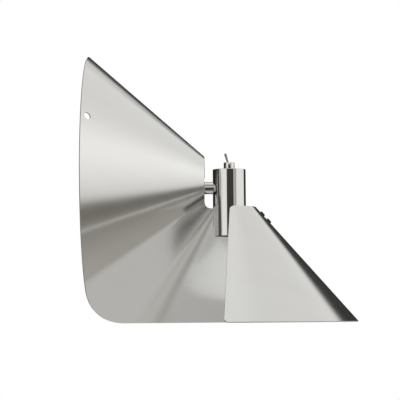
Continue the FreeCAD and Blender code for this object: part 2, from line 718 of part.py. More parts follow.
def canopy_nipple():
    """The hollow thread that joins the canopy to the stem."""
    start = canopy_nut_face() - SEAT - NUT_HEIGHT - NIPPLE_TIP
    return pipe(V(start, 0, 0), V(1, 0, 0), NIPPLE_RADIUS, NIPPLE_BORE, canopy_front + NIPPLE_GRIP - start)


def canopy_washer():
    """The lock washer inside the canopy."""
    return pipe(V(canopy_nut_face(), 0, 0), V(1, 0, 0), NUT_FLATS / math.sqrt(3),
                NIPPLE_RADIUS + CLEAR, LOCK_WASHER)


def canopy_nut():
    """The nut inside the canopy."""
    start = V(canopy_nut_face() - SEAT - NUT_HEIGHT, 0, 0)
    return hex_nut(start, V(1, 0, 0), NUT_FLATS, NUT_HEIGHT, NIPPLE_RADIUS + THREAD)


def pole_places():
    """The y of each pole of the terminal block."""
    return [-POLE_PITCH, 0, POLE_PITCH]


def terminal_block():
    """The moulded block with a lead bore and a screw bore at both ends of each pole."""
    base = PLATE_THICKNESS + SEAT
    top = -BLOCK_DROP
    body = block(base, base + BLOCK_HEIGHT, -BLOCK_WIDTH / 2, BLOCK_WIDTH / 2, top - BLOCK_LENGTH, top)
    for y in pole_places():
        for end, inward in ((top, -1), (top - BLOCK_LENGTH, 1)):
            bore = rod(V(pole_x(), y, end - inward), V(0, 0, inward), POLE_BORE, POLE_DEPTH + 1)
            start = V(pole_x(), y, end + inward * TERMINAL_SCREW_INSET)
            well = rod(start, V(1, 0, 0), TERMINAL_SCREW_RADIUS + THREAD, BLOCK_HEIGHT)
            body = body.cut(bore).cut(well)
    place = plate_screw_places()[1]
    start = V(0, place.y, place.z)
    return body.cut(rod(start, V(1, 0, 0), SMALL_SCREW_RADIUS + CLEAR, base + BLOCK_HEIGHT + 1))


def pole_x():
    """The height of the lead bores above the wall."""
    return PLATE_THICKNESS + SEAT + BLOCK_HEIGHT / 2


def terminal_screws():
    """The grub screws of the terminal block."""
    foot = pole_x() + LEAD_RADIUS + SEAT
    length = PLATE_THICKNESS + SEAT + BLOCK_HEIGHT - foot
    screws = []
    for y in pole_places():
        for z in (-BLOCK_DROP - TERMINAL_SCREW_INSET, -BLOCK_DROP - BLOCK_LENGTH + TERMINAL_SCREW_INSET):
            screw = rod(V(foot, y, z), V(1, 0, 0), TERMINAL_SCREW_RADIUS, length)
            groove = block(foot + length - RECESS_DEPTH, foot + length + 1, y - TERMINAL_SCREW_RADIUS - 1,
                           y + TERMINAL_SCREW_RADIUS + 1, z - RECESS_WIDTH / 3, z + RECESS_WIDTH / 3)
            screws.append(screw.cut(groove))
    return group(screws)


def block_screw():
    """The screw that holds the terminal block on the plate."""
    place = plate_screw_places()[1]
    seat = V(PLATE_THICKNESS + SEAT + BLOCK_HEIGHT + SEAT, place.y, place.z)
    return pan_screw(seat, V(1, 0, 0), SMALL_SCREW_RADIUS, seat.x - SEAT, SMALL_HEAD_RADIUS, SMALL_HEAD_HEIGHT)


def earth_washer():
    """The washer under the earth screw."""
    place = plate_screw_places()[0]
    return pipe(V(PLATE_THICKNESS + SEAT, place.y, place.z), V(1, 0, 0), SMALL_HEAD_RADIUS + 1,
                SMALL_SCREW_RADIUS + CLEAR, LOCK_WASHER)


def earth_screw():
    """The earth screw in the plate."""
    place = plate_screw_places()[0]
    seat = V(PLATE_THICKNESS + 2 * SEAT + LOCK_WASHER, place.y, place.z)
    return pan_screw(seat, V(1, 0, 0), SMALL_SCREW_RADIUS, seat.x - SEAT, SMALL_HEAD_RADIUS, SMALL_HEAD_HEIGHT)


# ---- leads -----------------------------------------------------------------------------
def lead_start(pole):
    """Where a lead leaves its pole of the terminal block."""
    return [V(pole_x(), pole_places()[pole], -BLOCK_DROP - POLE_DEPTH + SEAT),
            V(pole_x(), pole_places()[pole], -BLOCK_DROP + 2 * POLE_DEPTH)]


def lead_lane(turn):
    """A lead's run through the stem: turn, in degrees, says on which side of the axis."""
    angle = math.radians(turn)
    y = LEAD_SPREAD * math.cos(angle)
    z = LEAD_SPREAD * math.sin(angle)
    enter = canopy_nut_face() - NUT_HEIGHT - NIPPLE_TIP - 4 * LEAD_RADIUS
    leave = saddle_face() + NUT_HEIGHT + NIPPLE_TIP + LEAD_RADIUS
    return [V(enter, y, z), V(leave, y, z)]


def live_lead():
    """From the terminal block through the stem to the switch."""
    x = lug_places()[0]
    end = V(x - LUG_THICKNESS, -LEAD_RADIUS / 2, switch_bottom - LUG_LENGTH - LEAD_RADIUS - CLEAR)
    return lead(lead_start(0) + lead_lane(150) + [end], LEAD_RADIUS)


def neutral_lead():
    """From the terminal block through the stem to the lampholder."""
    x, y = holder_entries()[0]
    above = V(housing_x + x, y, plate_z + BRACKET_PLATE + 5 * LEAD_RADIUS)
    end = V(housing_x + x, y, holder_top - POLE_DEPTH + SEAT)
    return lead(lead_start(2) + lead_lane(30) + [above, end], LEAD_RADIUS)


def earth_lead():
    """From the terminal block through the stem to the lampholder's bracket."""
    x, y = holder_entries()[0]
    end = V(housing_x + x, -y, plate_z + BRACKET_PLATE + SEAT)
    above = V(housing_x + x, -y, plate_z + BRACKET_PLATE + 5 * LEAD_RADIUS)
    return lead(lead_start(1) + lead_lane(270) + [above, end], LEAD_RADIUS)


def switched_lead():
    """From the switch to the lampholder."""
    x, y = holder_entries()[1]
    start = V(lug_places()[1], 0, switch_bottom - LUG_LENGTH - SEAT)
    below = start - V(0, 0, 3 * LEAD_RADIUS)
    above = V(housing_x + x, y, plate_z + BRACKET_PLATE + 5 * LEAD_RADIUS)
    end = V(housing_x + x, y, holder_top - POLE_DEPTH + SEAT)
    return lead([start, below, above, end], LEAD_RADIUS)


# ---- every node, in the order of assembly ----------------------------------------------
NODES = [
    wall_plate, terminal_block, terminal_screws, block_screw, earth_washer, earth_screw,
    canopy, canopy_screws, canopy_washer, canopy_nut, canopy_nipple, stem_tube,
    housing, housing_nipple, saddle_washer, housing_nut,
    switch_body, switch_bushing, switch_inner_nut, switch_washer, switch_dress_nut,
    switch_lever, switch_lugs, lampholder_bracket, lampholder_body, lampholder_sleeve,
    lampholder_contact, lampholder_nipple, lampholder_nut,
    live_lead, neutral_lead, earth_lead, switched_lead,
    shade, shade_bracket, shade_screws, shade_nuts, bracket_screws,
]

os.makedirs("parts", exist_ok=True)
for build in NODES:
    shape = build()
    shape.exportStep("parts/" + build.__name__ + ".step")
    print(build.__name__, len(shape.Solids), shape.isValid(), round(shape.Volume, 1))
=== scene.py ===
"""Dresses the wall sconce: one slit disc of brushed sheet, bent round a polished lamp housing.

Sizes are in metres, in the CAD part's own frame: +X leads away from the wall, +Z is up, and
the camera stands on the -Y side.
"""

import json
import logging
import math
from dataclasses import dataclass, field
from enum import Enum
from typing import Any, Mapping, Optional, Sequence, Union

import bpy
import numpy as np
from mathutils import Matrix, Vector


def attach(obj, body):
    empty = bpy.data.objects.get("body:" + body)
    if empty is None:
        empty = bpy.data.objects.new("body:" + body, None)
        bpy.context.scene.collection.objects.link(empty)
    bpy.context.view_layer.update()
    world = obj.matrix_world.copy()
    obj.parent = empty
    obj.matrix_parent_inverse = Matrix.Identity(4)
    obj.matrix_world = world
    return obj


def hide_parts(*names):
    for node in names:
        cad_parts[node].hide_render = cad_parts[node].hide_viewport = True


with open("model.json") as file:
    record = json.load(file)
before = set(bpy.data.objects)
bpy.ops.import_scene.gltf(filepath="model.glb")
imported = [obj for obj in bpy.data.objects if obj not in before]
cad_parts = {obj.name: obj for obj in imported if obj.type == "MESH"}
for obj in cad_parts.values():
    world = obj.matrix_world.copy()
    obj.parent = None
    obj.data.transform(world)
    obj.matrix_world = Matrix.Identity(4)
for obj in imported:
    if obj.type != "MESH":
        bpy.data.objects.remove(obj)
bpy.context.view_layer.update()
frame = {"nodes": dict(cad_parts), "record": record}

LOG = logging.getLogger("sconce")
MM = 0.001
NOTHING: Mapping[Any, Any] = {}

Number = Union[int, float]
Colour = tuple[float, float, float]
Value = Union[Number, Sequence[float], "Socket"]


# ---- shader expressions ----------------------------------------------------------------
class Socket:
    """One output of a node, which takes part in Python expressions."""

    def __init__(self, graph: "Graph", port: bpy.types.NodeSocket) -> None:
        """Keeps the graph that the output belongs to."""
        self.graph = graph
        self.port = port

    def __add__(self, other: Value) -> "Socket":
        """self + other."""
        return self.graph.math("ADD", self, other)

    def __radd__(self, other: Value) -> "Socket":
        """other + self."""
        return self.graph.math("ADD", other, self)

    def __sub__(self, other: Value) -> "Socket":
        """self - other."""
        return self.graph.math("SUBTRACT", self, other)

    def __rsub__(self, other: Value) -> "Socket":
        """other - self."""
        return self.graph.math("SUBTRACT", other, self)

    def __mul__(self, other: Value) -> "Socket":
        """self * other."""
        return self.graph.math("MULTIPLY", self, other)

    def __rmul__(self, other: Value) -> "Socket":
        """other * self."""
        return self.graph.math("MULTIPLY", other, self)

    def __truediv__(self, other: Value) -> "Socket":
        """self / other."""
        return self.graph.math("DIVIDE", self, other)

    def __rtruediv__(self, other: Value) -> "Socket":
        """other / self."""
        return self.graph.math("DIVIDE", other, self)

    def __pow__(self, other: Value) -> "Socket":
        """self ** other."""
        return self.graph.math("POWER", self, other)

    def __rpow__(self, other: Value) -> "Socket":
        """other ** self."""
        return self.graph.math("POWER", other, self)

    def __abs__(self) -> "Socket":
        """abs(self)."""
        return self.graph.math("ABSOLUTE", self)

    def step(self, low: Number, high: Number) -> "Socket":
        """Rises smoothly from 0 at low to 1 at high, or falls where low is the larger.

        Args:
            low: where the result is 0.
            high: where the result is 1.

        Returns:
            The smooth step.
        """
        return self.graph.node("ShaderNodeMapRange", {"interpolation_type": "SMOOTHSTEP"},
                               {0: self, 1: low, 2: high, 3: 0.0, 4: 1.0})


class Graph:
    """A node tree while it is filled."""

    def __init__(self, tree: bpy.types.NodeTree) -> None:
        """Takes a tree and empties it."""
        self.tree = tree
        tree.nodes.clear()

    def node(self, kind: str, settings: Mapping[str, Any] = NOTHING,
             inputs: Mapping[Union[int, str], Value] = NOTHING,
             output: Union[int, str] = 0) -> Socket:
        """Adds any node.

        Args:
            kind: the node's type.
            settings: its properties, set first; "stops" are a ramp's places and colours.
            inputs: values or links of its input sockets.
            output: which output is wanted.

        Returns:
            That output.
        """
        made = self.tree.nodes.new(kind)
        for name, value in settings.items():
            if name == "stops":
                self._stops(made.color_ramp, value)
            else:
                setattr(made, name, value)
        for key, value in inputs.items():
            port = made.inputs[key]
            if isinstance(value, Socket):
                self.tree.links.new(value.port, port)
            elif port.type == "RGBA":
                port.default_value = (*value, 1.0)
            else:
                port.default_value = value
        return Socket(self, made.outputs[output])

    def end(self, kind: str, surface: Socket) -> None:
        """Adds the tree's output node and links its surface."""
        self.tree.links.new(surface.port, self.tree.nodes.new(kind).inputs["Surface"])

    @staticmethod
    def _stops(ramp: bpy.types.ColorRamp, stops: Sequence[tuple[float, Colour]]) -> None:
        """Gives a ramp its stops.

        Args:
            ramp: the ramp to fill.
            stops: places from 0 to 1, each with its colour.
        """
        while len(ramp.elements) > 1:
            ramp.elements.remove(ramp.elements[-1])
        for index, (place, colour) in enumerate(stops):
            element = ramp.elements[0] if index == 0 else ramp.elements.new(place)
            element.position = place
            element.color = (*colour, 1.0)

    def mix(self, factor: Value, first: Value, second: Value, blend: str = "MIX") -> Socket:
        """Mixes two colours.

        Args:
            factor: 0 for the first colour, 1 for the second.
            first: the first colour.
            second: the second colour.
            blend: how they are mixed.

        Returns:
            The mixed colour.
        """
        return self.node("ShaderNodeMix", {"data_type": "RGBA", "blend_type": blend},
                         {0: factor, 6: first, 7: second}, output=2)

    def math(self, operation: str, *terms: Value) -> Socket:
        """Adds a Math node with its inputs in order."""
        return self.node("ShaderNodeMath", {"operation": operation}, dict(enumerate(terms)))

    def vector(self, operation: str, *terms: Value) -> Socket:
        """Adds a Vector Math node with its inputs in order."""
        return self.node("ShaderNodeVectorMath", {"operation": operation}, dict(enumerate(terms)))

    def parts(self, vector: Socket) -> tuple[Socket, Socket, Socket]:
        """Splits a vector.

        Args:
            vector: the vector to split.

        Returns:
            Its x, y and z.
        """
        first = self.node("ShaderNodeSeparateXYZ", inputs={0: vector})
        outputs = first.port.node.outputs
        return first, Socket(self, outputs[1]), Socket(self, outputs[2])

    def joined(self, x: Value, y: Value, z: Value) -> Socket:
        """Makes a vector from three numbers."""
        return self.node("ShaderNodeCombineXYZ", inputs={0: x, 1: y, 2: z})

    def noise(self, place: Socket, scale: float, detail: float, roughness: float = 0.5) -> Socket:
        """Adds a noise texture.

        Args:
            place: where the noise is read.
            scale: how fine it is.
            detail: how many finer layers it has.
            roughness: how strong those layers are.

        Returns:
            A number from 0 to 1.
        """
        return self.node("ShaderNodeTexNoise", inputs={
            "Vector": place, "Scale": scale, "Detail": detail, "Roughness": roughness})

    def bump(self, height: Socket, strength: float, distance: float) -> Socket:
        """Adds a Bump node.

        Args:
            height: the height over the surface, from 0 to 1.
            strength: how much of it shows.
            distance: what a height of 1 means, in metres.

        Returns:
            The normal for a shader.
        """
        return self.node("ShaderNodeBump", inputs={
            "Strength": strength, "Distance": distance, "Height": height})


# ---- finishes --------------------------------------------------------------------------
@dataclass(frozen=True)
class Finish:
    """What every finish has: its name and its main colour."""

    name: str
    colour: Colour

    def material(self) -> bpy.types.Material:
        """Makes the finish's material once.

        Returns:
            The material, the same one at each call.
        """
        made = bpy.data.materials.get(self.name)
        if made is None:
            made = bpy.data.materials.new(self.name)
            made.use_nodes = True
            graph = Graph(made.node_tree)
            shader = graph.node("ShaderNodeBsdfPrincipled", inputs=self.surface(graph))
            graph.end("ShaderNodeOutputMaterial", shader)
        return made

    def surface(self, graph: Graph) -> dict[str, Value]:
        """Gives the inputs of the finish's shader.

        Args:
            graph: the material's nodes.

        Returns:
            Values and links by socket name.
        """
        raise NotImplementedError

    def place(self, graph: Graph) -> Socket:
        """Gives the place on the object, in metres."""
        return graph.node("ShaderNodeTexCoord", output="Object")

    def tinted(self, graph: Graph, amount: Socket, depth: float) -> Socket:
        """Varies the main colour.

        Args:
            graph: the material's nodes.
            amount: where it is paler, from 0 to 1.
            depth: how far the darkest place falls below the main colour, as a share.

        Returns:
            The varied colour.
        """
        dark = tuple(part * (1 - depth) for part in self.colour)
        return graph.mix(amount, dark, self.colour)


@dataclass(frozen=True)
class BrushedSheet(Finish):
    """Sheet metal brushed in one direction of the flat blank, before it was bent."""

    roughness: float = 0.17
    grain_along: float = 22.0
    grain_across: float = 1500.0
    grain_turn: float = math.radians(90.0)
    band_along: float = 6.0
    band_across: float = 60.0
    cloud_scale: float = 9.0
    depth: float = 0.09
    warm: Colour = (1.0, 0.994, 0.985)
    cool: Colour = (0.99, 1.0, 0.994)
    face_lift: float = 0.74 * MM
    cut_lift: float = 0.60 * MM
    cut_colour: Colour = (0.74, 0.73, 0.72)
    cut_dullness: float = 0.65

    def surface(self, graph: Graph) -> dict[str, Value]:
        """Gives straight grain, faint wide bands, a slight change of tint and dull cut edges."""
        blank = graph.node("ShaderNodeAttribute", {"attribute_name": Bend.BLANK_PLACE},
                           output="Vector")
        x, y, lift = graph.parts(blank)
        cos_g, sin_g = math.cos(self.grain_turn), math.sin(self.grain_turn)
        along = x * cos_g + y * sin_g
        across = y * cos_g - x * sin_g
        grain = graph.joined(along * self.grain_along, across * self.grain_across, 0.0)
        bands = graph.joined(along * self.band_along, across * self.band_across, 3.0)
        fine = graph.noise(grain, 1.0, 3.0)
        wide = graph.noise(bands, 1.0, 2.0)
        cloud = graph.noise(blank, self.cloud_scale, 1.0)
        grey = self.tinted(graph, fine * 0.5 + wide * 0.5, self.depth)
        tint = graph.mix(cloud.step(0.3, 0.7), self.warm, self.cool)
        cut = abs(lift).step(self.face_lift, self.cut_lift)
        face = graph.mix(1.0, grey, tint, "MULTIPLY")
        return {
            "Base Color": graph.mix(cut, face, self.cut_colour),
            "Metallic": 1.0 - cut * self.cut_dullness,
            "Roughness": self.roughness + (fine - 0.5) * 0.10 + (wide - 0.5) * 0.03 + cut * 0.25,
            "Normal": graph.bump(fine, 0.35, 0.02 * MM),
        }


@dataclass(frozen=True)
class SpunMetal(Finish):
    """Metal with the fine rings that a lathe leaves round the stem's axis."""

    roughness: float = 0.25
    ring_scale: float = 1500.0
    band_scale: float = 90.0
    depth: float = 0.08

    def surface(self, graph: Graph) -> dict[str, Value]:
        """Gives rings, long soft bands round the axis and small changes of shine."""
        x, y, z = graph.parts(self.place(graph))
        radius = (y * y + z * z) ** 0.5
        turn = graph.math("ARCTAN2", y, z)
        fine = graph.joined(radius * self.ring_scale, x * self.ring_scale, turn * 1.5)
        wide = graph.joined(radius * self.band_scale, x * self.band_scale, turn)
        rings = graph.noise(fine, 1.0, 2.0)
        bands = graph.noise(wide, 1.0, 1.0)
        return {
            "Base Color": self.tinted(graph, rings * 0.6 + bands * 0.4, self.depth),
            "Metallic": 1.0,
            "Roughness": self.roughness + (rings - 0.5) * 0.12 + (bands - 0.5) * 0.05,
            "Normal": graph.bump(rings, 0.3, 0.02 * MM),
        }


@dataclass(frozen=True)
class BrightMetal(Finish):
    """Polished or bright-plated metal with the haze of handling."""

    roughness: float = 0.06
    haze_scale: float = 55.0
    mark_scales: tuple[float, float, float] = (2600.0, 2600.0, 60.0)
    depth: float = 0.04

    def surface(self, graph: Graph) -> dict[str, Value]:
        """Gives a mirror with faint haze and hairline marks."""
        place = self.place(graph)
        haze = graph.noise(place, self.haze_scale, 3.0)
        marks = graph.noise(graph.vector("MULTIPLY", place, self.mark_scales), 1.0, 1.0)
        return {
            "Base Color": self.tinted(graph, haze, self.depth),
            "Metallic": 1.0,
            "Roughness": self.roughness + haze.step(0.45, 0.75) * 0.05 + (marks - 0.5) * 0.02,
            "Normal": graph.bump(marks, 0.06, 0.01 * MM),
        }


@dataclass(frozen=True)
class PlatedMetal(Finish):
    """Dull plated or bare hardware, slightly mottled."""

    roughness: float = 0.38
    mottle: float = 0.16
    spangle_scale: float = 900.0
    cloud_scale: float = 120.0
    grain_scale: float = 2600.0

    def surface(self, graph: Graph) -> dict[str, Value]:
        """Gives small spangles, a cloudy tone and a fine grain."""
        place = self.place(graph)
        spangle = graph.node("ShaderNodeTexVoronoi",
                             inputs={"Vector": place, "Scale": self.spangle_scale})
        cloud = graph.noise(place, self.cloud_scale, 3.0)
        grain = graph.noise(place, self.grain_scale, 2.0)
        return {
            "Base Color": self.tinted(graph, spangle * 0.5 + cloud * 0.6, self.mottle),
            "Metallic": 1.0,
            "Roughness": self.roughness + (cloud - 0.5) * 0.18 + (spangle - 0.5) * 0.06,
            "Normal": graph.bump(grain, 0.25, 0.03 * MM),
        }


@dataclass(frozen=True)
class CoatedMetal(Finish):
    """Blackened or painted metal that has worn a little."""

    roughness: float = 0.36
    worn: Colour = (0.16, 0.16, 0.16)
    wear_scale: float = 700.0
    grain_scale: float = 3200.0

    def surface(self, graph: Graph) -> dict[str, Value]:
        """Gives a satin coat with paler worn spots."""
        place = self.place(graph)
        wear = graph.noise(place, self.wear_scale, 4.0, 0.6).step(0.58, 0.74)
        grain = graph.noise(place, self.grain_scale, 2.0)
        return {
            "Base Color": graph.mix(wear, self.colour, self.worn),
            "Metallic": wear * 0.8,
            "Roughness": self.roughness + (grain - 0.5) * 0.2,
            "Normal": graph.bump(grain, 0.3, 0.03 * MM),
        }


@dataclass(frozen=True)
class Moulded(Finish):
    """Moulded resin with a fine matt skin and filler specks."""

    roughness: float = 0.45
    specks: float = 0.25
    filler_scale: float = 1800.0
    flow_scale: float = 60.0

    def surface(self, graph: Graph) -> dict[str, Value]:
        """Gives a speckled body colour, an uneven sheen and a fine skin."""
        place = self.place(graph)
        filler = graph.noise(place, self.filler_scale, 3.0)
        flow = graph.noise(place, self.flow_scale, 2.0)
        amount = filler.step(0.25, 0.6) * 0.6 + flow * 0.6
        return {
            "Base Color": self.tinted(graph, amount, self.specks),
            "Roughness": self.roughness + (flow - 0.5) * 0.2 + (filler - 0.5) * 0.1,
            "Normal": graph.bump(filler, 0.3, 0.04 * MM),
        }


class Slot(Enum):
    """The record's material slots, each with the finish it is given."""

    brushed_steel = BrushedSheet("sheet_brushed_steel", (0.845, 0.84, 0.828))
    polished_steel = BrightMetal("steel_polished", (0.82, 0.81, 0.79), 0.05)
    polished_nickel = BrightMetal("nickel_bright", (0.84, 0.82, 0.78), 0.07)
    zinc_steel = PlatedMetal("zinc_plate", (0.66, 0.67, 0.68))
    black_screw = CoatedMetal("screw_blackened", (0.045, 0.043, 0.040))
    brass_parts = PlatedMetal("brass_plain", (0.80, 0.60, 0.30), 0.26, 0.10)
    tinned_brass = PlatedMetal("brass_tinned", (0.76, 0.73, 0.66), 0.30, 0.10)
    white_nylon = Moulded("nylon_white", (0.84, 0.84, 0.80), 0.42, 0.05)
    red_phenolic = Moulded("phenolic_red", (0.36, 0.035, 0.025), 0.35, 0.35)
    black_phenolic = Moulded("phenolic_black", (0.030, 0.028, 0.027), 0.38, 0.45)
    brown_insulation = Moulded("wire_brown", (0.15, 0.055, 0.02), 0.42, 0.12)
    blue_insulation = Moulded("wire_blue", (0.03, 0.10, 0.42), 0.42, 0.12)
    green_insulation = Moulded("wire_green", (0.10, 0.34, 0.08), 0.42, 0.12)


SPUN_STEEL = SpunMetal("steel_spun", (0.76, 0.755, 0.74))
LEVER_NICKEL = BrightMetal("nickel_dark", (0.40, 0.39, 0.37), 0.12)


# ---- meshes ----------------------------------------------------------------------------
def piece(name: str, points: np.ndarray, faces: Sequence[Sequence[int]], slot: Slot,
          finish: Optional[Finish] = None) -> bpy.types.Object:
    """Makes a smooth-shaded object.

    Args:
        name: the piece's name.
        points: one row for each vertex, in metres.
        faces: vertex numbers, counter-clockwise from outside.
        slot: the record's slot.
        finish: a finish of its own, or None for the slot's.

    Returns:
        The object, in the scene.
    """
    mesh = bpy.data.meshes.new(name)
    mesh.from_pydata([tuple(p) for p in points], [], [tuple(f) for f in faces])
    mesh.validate()
    mesh.shade_smooth()
    mesh.materials.append((finish or slot.value).material())
    made = bpy.data.objects.new(name, mesh)
    bpy.context.scene.collection.objects.link(made)
    return made


def rounded(corners: Sequence[tuple[float, float, float]],
            steps: int = 6) -> list[tuple[float, float]]:
    """Rounds the corners of a profile.

    Args:
        corners: each corner's radius from the axis, height and rounding, in order.
        steps: how many pieces each arc has.

    Returns:
        The profile's points.
    """
    result: list[tuple[float, float]] = []
    for index, (radius, height, bend) in enumerate(corners):
        here = Vector((radius, height))
        if bend <= 0 or index in (0, len(corners) - 1):
            result.append((radius, height))
            continue
        before = (Vector(corners[index - 1][:2]) - here).normalized()
        after = (Vector(corners[index + 1][:2]) - here).normalized()
        half = before.angle(after) / 2
        trim = bend / math.tan(half)
        centre = here + (before + after).normalized() * (bend / math.sin(half))
        start, end = here + before * trim - centre, here + after * trim - centre
        sweep = start.angle(end)
        for step in range(steps + 1):
            part = step / steps
            arm = start * math.sin((1 - part) * sweep) + end * math.sin(part * sweep)
            result.append(tuple(centre + arm / math.sin(sweep)))
    return result


UP = Vector((0, 0, 1))
OUT = Vector((1, 0, 0))


@dataclass(frozen=True)
class Axis:
    """A line to turn a profile about: where height is 0, and which way height grows."""

    origin: Vector
    direction: Vector

    def matrix(self) -> Matrix:
        """Returns the map from turned coordinates to the frame."""
        turn = UP.rotation_difference(self.direction).to_matrix().to_4x4()
        return Matrix.Translation(self.origin) @ turn


def turned(name: str, profile: Sequence[tuple[float, float]], axis: Axis, slot: Slot,
           steps: int, finish: Optional[Finish] = None,
           closed: bool = False) -> bpy.types.Object:
    """Turns a profile about an axis.

    Args:
        name: the piece's name.
        profile: radius and height of each point; the solid lies to the left of its run.
        axis: the line to turn about.
        slot: the record's slot.
        steps: points round the axis.
        finish: a finish of its own, or None for the slot's.
        closed: True where the profile's last point joins its first.

    Returns:
        The object.
    """
    angles = np.linspace(0, 2 * math.pi, steps, endpoint=False)
    points: list[tuple[float, float, float]] = []
    rings: list[list[int]] = []
    for radius, height in profile:
        start = len(points)
        if radius < 1e-7:
            points.append((0.0, 0.0, height))
            rings.append([start] * steps)
        else:
            points.extend((radius * math.cos(a), radius * math.sin(a), height) for a in angles)
            rings.append(list(range(start, start + steps)))
    faces = []
    pairs = list(zip(rings, rings[1:]))
    if closed:
        pairs.append((rings[-1], rings[0]))
    for low, high in pairs:
        for k in range(steps):
            n = (k + 1) % steps
            corners = [low[k], low[n], high[n], high[k]]
            corners = [c for i, c in enumerate(corners) if c != corners[i - 1]]
            if len(corners) > 2:
                faces.append(corners)
    matrix = axis.matrix()
    placed = np.array([matrix @ Vector(p) for p in points])
    made = piece(name, placed, faces, slot, finish)
    keep_flats(made)
    return made


def keep_flats(made: bpy.types.Object) -> None:
    """Makes large flats stay flat in shading beside small roundings.

    Args:
        made: the object.
    """
    weighted = made.modifiers.new("flats", "WEIGHTED_NORMAL")
    weighted.mode = "FACE_AREA"
    weighted.weight = 80


# ---- the bent disc ---------------------------------------------------------------------
@dataclass(frozen=True)
class Bend:
    """The map from the flat blank to the two cones and the flat web between them."""

    apex: Vector
    half_angle: float
    overrun: float
    slit: float

    BLANK_PLACE = "blank_place"

    @property
    def join(self) -> float:
        """Azimuth at which each cone meets the web."""
        lean = math.sqrt(math.cos(2 * self.half_angle)) / math.cos(self.half_angle)
        return math.pi - math.asin(lean)

    @property
    def lower_turn(self) -> float:
        """Angle of the blank that the lower cone takes."""
        return (self.join + math.pi / 2 + self.overrun) * math.sin(self.half_angle)

    @property
    def web_turn(self) -> float:
        """Angle of the blank that the web takes."""
        return self.wall_ruling(self.join).angle(self.lower_ruling(self.join))

    @property
    def total_turn(self) -> float:
        """Angle of the whole blank."""
        return 2 * math.pi - self.slit

    def lower_ruling(self, azimuth: float) -> Vector:
        """A straight line of the lower cone, from +X towards +Y."""
        sin_h, cos_h = math.sin(self.half_angle), math.cos(self.half_angle)
        return Vector((sin_h * math.cos(azimuth), sin_h * math.sin(azimuth), -cos_h))

    def wall_ruling(self, azimuth: float) -> Vector:
        """A straight line of the wall-side cone, from the top towards -Y."""
        sin_h, cos_h = math.sin(self.half_angle), math.cos(self.half_angle)
        return Vector((-cos_h, -sin_h * math.sin(azimuth), sin_h * math.cos(azimuth)))

    def ruling(self, turn: float) -> tuple[Vector, Vector]:
        """Finds the straight line that one radius of the blank becomes.

        Args:
            turn: angle on the blank from the lower cone's free edge.

        Returns:
            Its direction, and the sheet's normal on the lower cone's outer side.
        """
        sin_h, cos_h = math.sin(self.half_angle), math.cos(self.half_angle)
        if turn <= self.lower_turn:
            azimuth = self.join - (self.lower_turn - turn) / sin_h
            normal = Vector((cos_h * math.cos(azimuth), cos_h * math.sin(azimuth), sin_h))
            return self.lower_ruling(azimuth), normal
        first, last = self.wall_ruling(self.join), self.lower_ruling(self.join)
        past = turn - self.lower_turn
        if past <= self.web_turn:
            between = last * math.sin(self.web_turn - past) + first * math.sin(past)
            return between / math.sin(self.web_turn), last.cross(first).normalized()
        azimuth = self.join - (past - self.web_turn) / sin_h
        normal = Vector((-sin_h, cos_h * math.sin(azimuth), -cos_h * math.cos(azimuth)))
        return self.wall_ruling(azimuth), normal

    def turn_of_lower(self, azimuth: float) -> float:
        """Blank angle of a line on the lower cone."""
        return self.lower_turn - (self.join - azimuth) * math.sin(self.half_angle)

    def turn_of_wall(self, azimuth: float) -> float:
        """Blank angle of a line on the wall-side cone."""
        return self.lower_turn + self.web_turn + (self.join - azimuth) * math.sin(self.half_angle)


@dataclass(frozen=True)
class Hole:
    """A round hole in the blank."""

    reach: float
    turn: float
    radius: float


